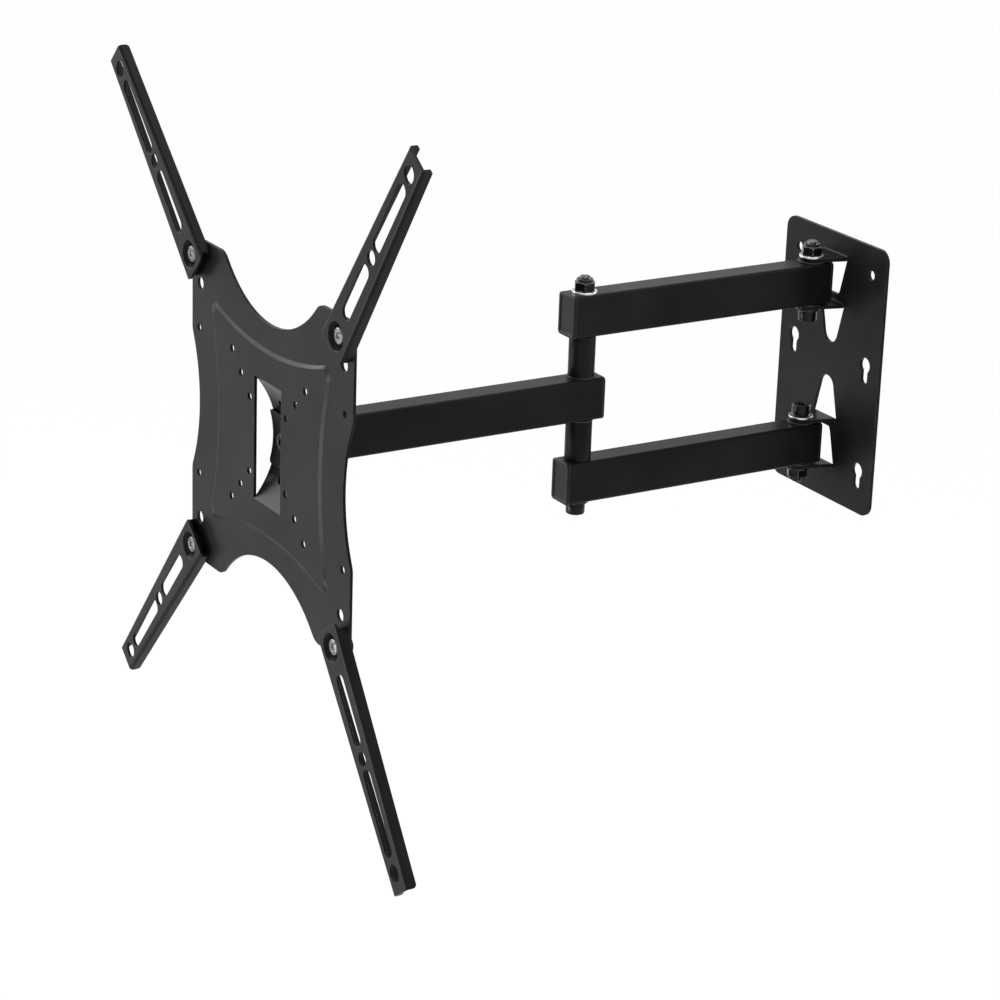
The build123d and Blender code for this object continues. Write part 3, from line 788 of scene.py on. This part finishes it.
def cut_socket(piece, flats, top, depth):
    """Cut a hexagon socket with a coned mouth and a drilled point into a head."""
    across, corner, bottom = flats / 2, flats / math.sqrt(3), top - depth
    rim = corner + 0.45
    combine(piece, hexagon_bar("key", flats, bottom, top + 1), "DIFFERENCE")
    point = [(0.1, bottom - corner * 0.5), (across, bottom), (across, bottom + 0.3)]
    combine(piece, turned("drill", point, sides=32), "DIFFERENCE")
    mouth = [(across - 0.3, top - 0.55), (rim, top + 0.2), (rim, top + 1)]
    return combine(piece, turned("countersink", mouth), "DIFFERENCE")


def hinge_bolt(name, length):
    """An M8 socket head bolt, its head standing on z = 0 and its shank hanging down."""
    thread_length = 11.5
    thread_top = thread_length - length
    body = turned(
        name,
        [
            (3.10, thread_top - 0.8), (3.10, thread_top + 0.2), (3.98, thread_top + 1.1),
            (3.98, -0.5), (4.30, 0.0), (5.95, 0.0), (6.32, 0.20), (6.50, 0.60), (6.50, 7.10),
            (6.36, 7.60), (6.00, 7.93), (5.60, 8.00),
        ],
    )
    combine(body, threaded_end(f"{name}_thread", 8.0, 1.25, -length, thread_top), "UNION")
    return cut_socket(body, 6.0, 8.0, 4.0)


for node, body, out, height in (
    ("wall_upper_bolt", "wall", wall_out, wall_head),
    ("wall_lower_bolt", "wall", wall_out, -wall_head),
    ("elbow_bolt", "rear_arms", elbow_out, -elbow_seat),
    ("swivel_bolt", "swivel_head", swivel_out, -swivel_seat),
):
    bolt_low, bolt_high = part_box(node)
    length = (bolt_high.z - bolt_low.z) / MM - bolt_head / MM
    model = hinge_bolt("bolt_model", length)
    turn = None if node == "wall_lower_bolt" else upside_down
    place = upright(0, out, height)
    piece = seat(model, f"{node}_threaded", body, node, *black_zinc_and_shade_slot, place, turn)
    print(piece.name, "length", round(length, 1), "open edges", open_edges(piece))
    put_away(model)

# %% [markdown]
# ## The tilt bolt and the pivot screws
#
# A low button head holds the tilting plate in the middle of the mount. Four smaller screws
# with the same kind of head hold the extension arms at the plate's corners: they pass the
# dish in the arm's root and the plate, and take a washer and a nut behind it. Their domes
# are drawn as a short arc of rings, so the light runs over them in one soft curve.

# %% Tilt bolt and pivot screws


def domed(radius, flat, height, rim):
    """The outline of a button head, from its rim over a quarter arc to its flat top."""
    steps, arc = 6, []
    for step in range(steps + 1):
        angle = math.pi / 2 * step / steps
        across = flat + (radius - flat) * math.cos(angle)
        arc.append((across, rim + (height - rim) * math.sin(angle)))
    return arc


def button_bolt(name, head, flat, height, rim, shank, length, pitch, socket, depth):
    """A button head bolt with its head on z = 0 and a short threaded end."""
    root = shank / 2 - 0.54 * pitch
    profile = [
        (root - 0.1, 3.6 - length), (root - 0.1, 4.2 - length), (shank / 2, 4.6 - length),
        (shank / 2, 0.0), (head / 2 - 0.15, 0.0), (head / 2, 0.15),
    ]
    body = turned(name, [*profile, *domed(head / 2, flat, height, rim)])
    combine(body, threaded_end(f"{name}_thread", shank, pitch, -length, 4.0 - length), "UNION")
    return cut_socket(body, socket, height, depth)


tilt_head = 4.4
tilt_low, tilt_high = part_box("tilt_bolt")
tilt_model = button_bolt(
    "tilt_model", head=14.0, flat=3.9, height=tilt_head, rim=0.45, shank=7.96,
    length=(tilt_high.y - tilt_low.y) / MM - tilt_head, pitch=1.25, socket=5.0, depth=2.2,
)
seat(
    tilt_model, "tilt_bolt_threaded", "swivel_head", "tilt_bolt", *black_zinc_and_shade_slot,
    upright(0, -tilt_low.y - tilt_head * MM, 0), facing_room,
)

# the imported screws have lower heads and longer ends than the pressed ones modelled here
packed_head, spare_end = 3, 2.5
plate_screw = ("arm_pivot_screws", "zinc_steel", dull_zinc)
screw_low, screw_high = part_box("arm_pivot_screws")
screw_model = button_bolt(
    "screw_model", head=11.0, flat=4.2, height=4.2, rim=2.9, shank=6.0,
    length=(screw_high.y - screw_low.y) / MM - packed_head - spare_end,
    pitch=1.0, socket=4.0, depth=1.0,
)
print("open edges:", open_edges(tilt_model), open_edges(screw_model))
screw_seat = -screw_low.y - packed_head * MM
pivot_reach = 100 * MM
corners = {
    "lower_left": (-pivot_reach, -pivot_reach),
    "upper_left": (-pivot_reach, pivot_reach),
    "lower_right": (pivot_reach, -pivot_reach),
    "upper_right": (pivot_reach, pivot_reach),
}
for name, (x, z) in corners.items():
    place = upright(x, screw_seat, z)
    seat(screw_model, f"{name}_pivot_screw", "tv_plate", *plate_screw, place, facing_room)
put_away(tilt_model, screw_model)

# %% [markdown]
# ## Nuts and washers behind the plate
#
# Each pivot screw ends in a thin M6 nut on a flat washer, low enough to stay hidden behind
# the plate's corner. The nut's corners are turned down on both faces, so it is made like
# the lock nuts: a coned round body kept inside a hexagon bar.

# %% Pivot nuts and washers
small_nut = ring(
    "small_nut",
    [
        (3.05, 0.5), (3.45, 0.0), (4.80, 0.0), (5.90, 0.62), (5.90, 2.38), (4.80, 3.00),
        (3.45, 3.00), (3.05, 2.50),
    ],
)
small_nut = combine(small_nut, hexagon_bar("bar", 10.0, -1, 4), "INTERSECT")
small_washer = ring(
    "small_washer",
    [
        (3.10, 0.1), (3.20, 0.0), (6.15, 0.0), (6.25, 0.12), (6.25, 0.8), (6.10, 1.08),
        (5.90, 1.20), (3.25, 1.20), (3.10, 1.05),
    ],
)
print("open edges:", open_edges(small_nut), open_edges(small_washer))
thin_nut, packed_nut = 3 * MM, 5 * MM
nut_out = -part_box("arm_pivot_nuts")[1].y + packed_nut - thin_nut
washer_out = -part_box("arm_pivot_washers")[1].y
for name, (x, z) in corners.items():
    seat(
        small_nut, f"{name}_pivot_nut", "tv_plate", "arm_pivot_nuts", *black_zinc_and_shade_slot,
        upright(x, nut_out, z), facing_room,
    )
    seat(
        small_washer, f"{name}_pivot_washer", "tv_plate", "arm_pivot_washers", *zinc_slot,
        upright(x, washer_out, z), facing_room,
    )
put_away(small_nut, small_washer)

# %% [markdown]
# ## Plugs in the tube ends
#
# A moulded plug closes each end of the three tubes and guides the pivot bolt. Its cap has
# the tube's outline with a soft rim and a sunken panel, as thick plastic shows sink marks
# if its face is plain. It starts as a flat sheet: its four corners are rounded, it is drawn
# up to the cap's thickness, the rim is bevelled and the panel is inset and pressed in. The
# block is drawn out of the back of the cap. The bore is cut last, since it lies at a
# different depth in each plug.

# %% Plugs


def pick_faces(piece, wanted):
    """In edit mode, select only the faces whose centre and normal pass a test."""
    bpy.ops.mesh.select_mode(type="FACE")
    bpy.ops.mesh.select_all(action="DESELECT")
    mesh = bmesh.from_edit_mesh(piece.data)
    for face in mesh.faces:
        if wanted(face.calc_center_median(), face.normal):
            face.select_set(True)
    bmesh.update_edit_mesh(piece.data)


plug_low, plug_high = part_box("upper_arm_elbow_plug")
cap_width = plug_high.x - plug_low.x
cap_height = plug_high.z - plug_low.z
cap, block_depth, neck = 2.0 * MM, 24.0 * MM, 1.0 * MM
panel_steps = ((1.35, 0), (0.18, -0.12), (0.14, -0.4), (0.13, -0.18))
select_only()
bpy.ops.mesh.primitive_plane_add(size=1)
plug_model = bpy.context.object
plug_model.name = "plug_model"
bpy.ops.transform.resize(value=(cap_width, cap_height, 1))
bpy.ops.object.transform_apply(location=True, rotation=True, scale=True)
bpy.ops.object.mode_set(mode="EDIT")
bpy.ops.mesh.select_mode(type="VERT")
bpy.ops.mesh.select_all(action="SELECT")
bpy.ops.mesh.bevel(affect="VERTICES", offset=2.5 * MM, segments=6)
bpy.ops.mesh.select_all(action="SELECT")
bpy.ops.mesh.extrude_region_move(TRANSFORM_OT_translate={"value": (0, 0, cap)})
bpy.ops.mesh.select_all(action="SELECT")
bpy.ops.mesh.normals_make_consistent(inside=False)
pick_faces(plug_model, lambda at, normal: at.z > cap - 0.1 * MM and normal.z > 0.9)
bpy.ops.mesh.bevel(affect="EDGES", offset=0.6 * MM, segments=4)
pick_faces(plug_model, lambda at, normal: at.z > cap - 0.01 * MM and normal.z > 0.99)
for inwards, deeper in panel_steps:
    bpy.ops.mesh.inset(thickness=inwards * MM, depth=deeper * MM)
pick_faces(plug_model, lambda at, normal: abs(at.z) < 0.01 * MM and abs(normal.z) > 0.9)
bpy.ops.mesh.inset(thickness=1.5 * MM, depth=0)
block = (0, 0, neck - block_depth)
bpy.ops.mesh.extrude_region_move(TRANSFORM_OT_translate={"value": block})
bpy.ops.mesh.inset(thickness=0.8 * MM, depth=neck)
bpy.ops.object.mode_set(mode="OBJECT")
clean_up(plug_model)
print("plug cap in mm:", round(cap_width / MM), "by", round(cap_height / MM))
print("open edges:", open_edges(plug_model))

facing_wall = Matrix.Rotation(math.radians(-90), 4, "X")
plastic_slot = ("black_plastic", plastic)


def seat_plug(node, body, pivot, to_room):
    """Bore a plug for its pivot bolt and put it into its tube end."""
    low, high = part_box(node)
    end = -low.y if to_room else -high.y
    from_face = abs(end - pivot)
    piece = plug_model.copy()
    piece.data = plug_model.data.copy()
    scene.collection.objects.link(piece)
    select_only()
    bpy.ops.mesh.primitive_cylinder_add(
        vertices=48,
        radius=4.05 * MM,
        depth=2 * cap_height,
        location=(0, 0, cap - from_face),
        rotation=(math.radians(90), 0, 0),
    )
    combine(piece, bpy.context.object, "DIFFERENCE")
    out = end - cap if to_room else end + cap
    place = upright(0, out, (low.z + high.z) / 2)
    turn = facing_room if to_room else facing_wall
    made = seat(piece, f"{node}_moulded", body, node, *plastic_slot, place, turn)
    put_away(piece)
    print(made.name, "open edges", open_edges(made))


for arm in ("upper_arm", "lower_arm"):
    seat_plug(f"{arm}_wall_plug", "rear_arms", wall_out, False)
    seat_plug(f"{arm}_elbow_plug", "rear_arms", elbow_out, True)
seat_plug("front_arm_elbow_plug", "front_arm", elbow_out, False)
seat_plug("front_arm_head_plug", "front_arm", swivel_out, True)
put_away(plug_model)

# %% [markdown]
# ## Spacers in the elbow
#
# Two short lengths of round bar keep the three arms apart at the elbow. They are turned
# with a small chamfer at each end, which catches a thin line of light.

# %% Elbow spacers
spacer_low, spacer_high = (corner.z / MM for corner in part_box("elbow_upper_spacer"))
spacer_length = spacer_high - spacer_low
spacer_model = ring(
    "spacer_model",
    [
        (4.05, 0.4), (4.45, 0.0), (8.50, 0.0), (8.85, 0.15), (9.00, 0.50),
        (9.00, spacer_length - 0.50), (8.85, spacer_length - 0.15), (8.50, spacer_length),
        (4.45, spacer_length), (4.05, spacer_length - 0.4),
    ],
)
coat_slot = ("black_powder_coat", coat)
seat(
    spacer_model, "elbow_upper_spacer_turned", "rear_arms", "elbow_upper_spacer", *coat_slot,
    upright(0, elbow_out, spacer_low * MM),
)
seat(
    spacer_model, "elbow_lower_spacer_turned", "rear_arms", "elbow_lower_spacer", *coat_slot,
    upright(0, elbow_out, -spacer_low * MM), upside_down,
)
put_away(spacer_model)
print("spacers are", round(spacer_length, 1), "mm long")
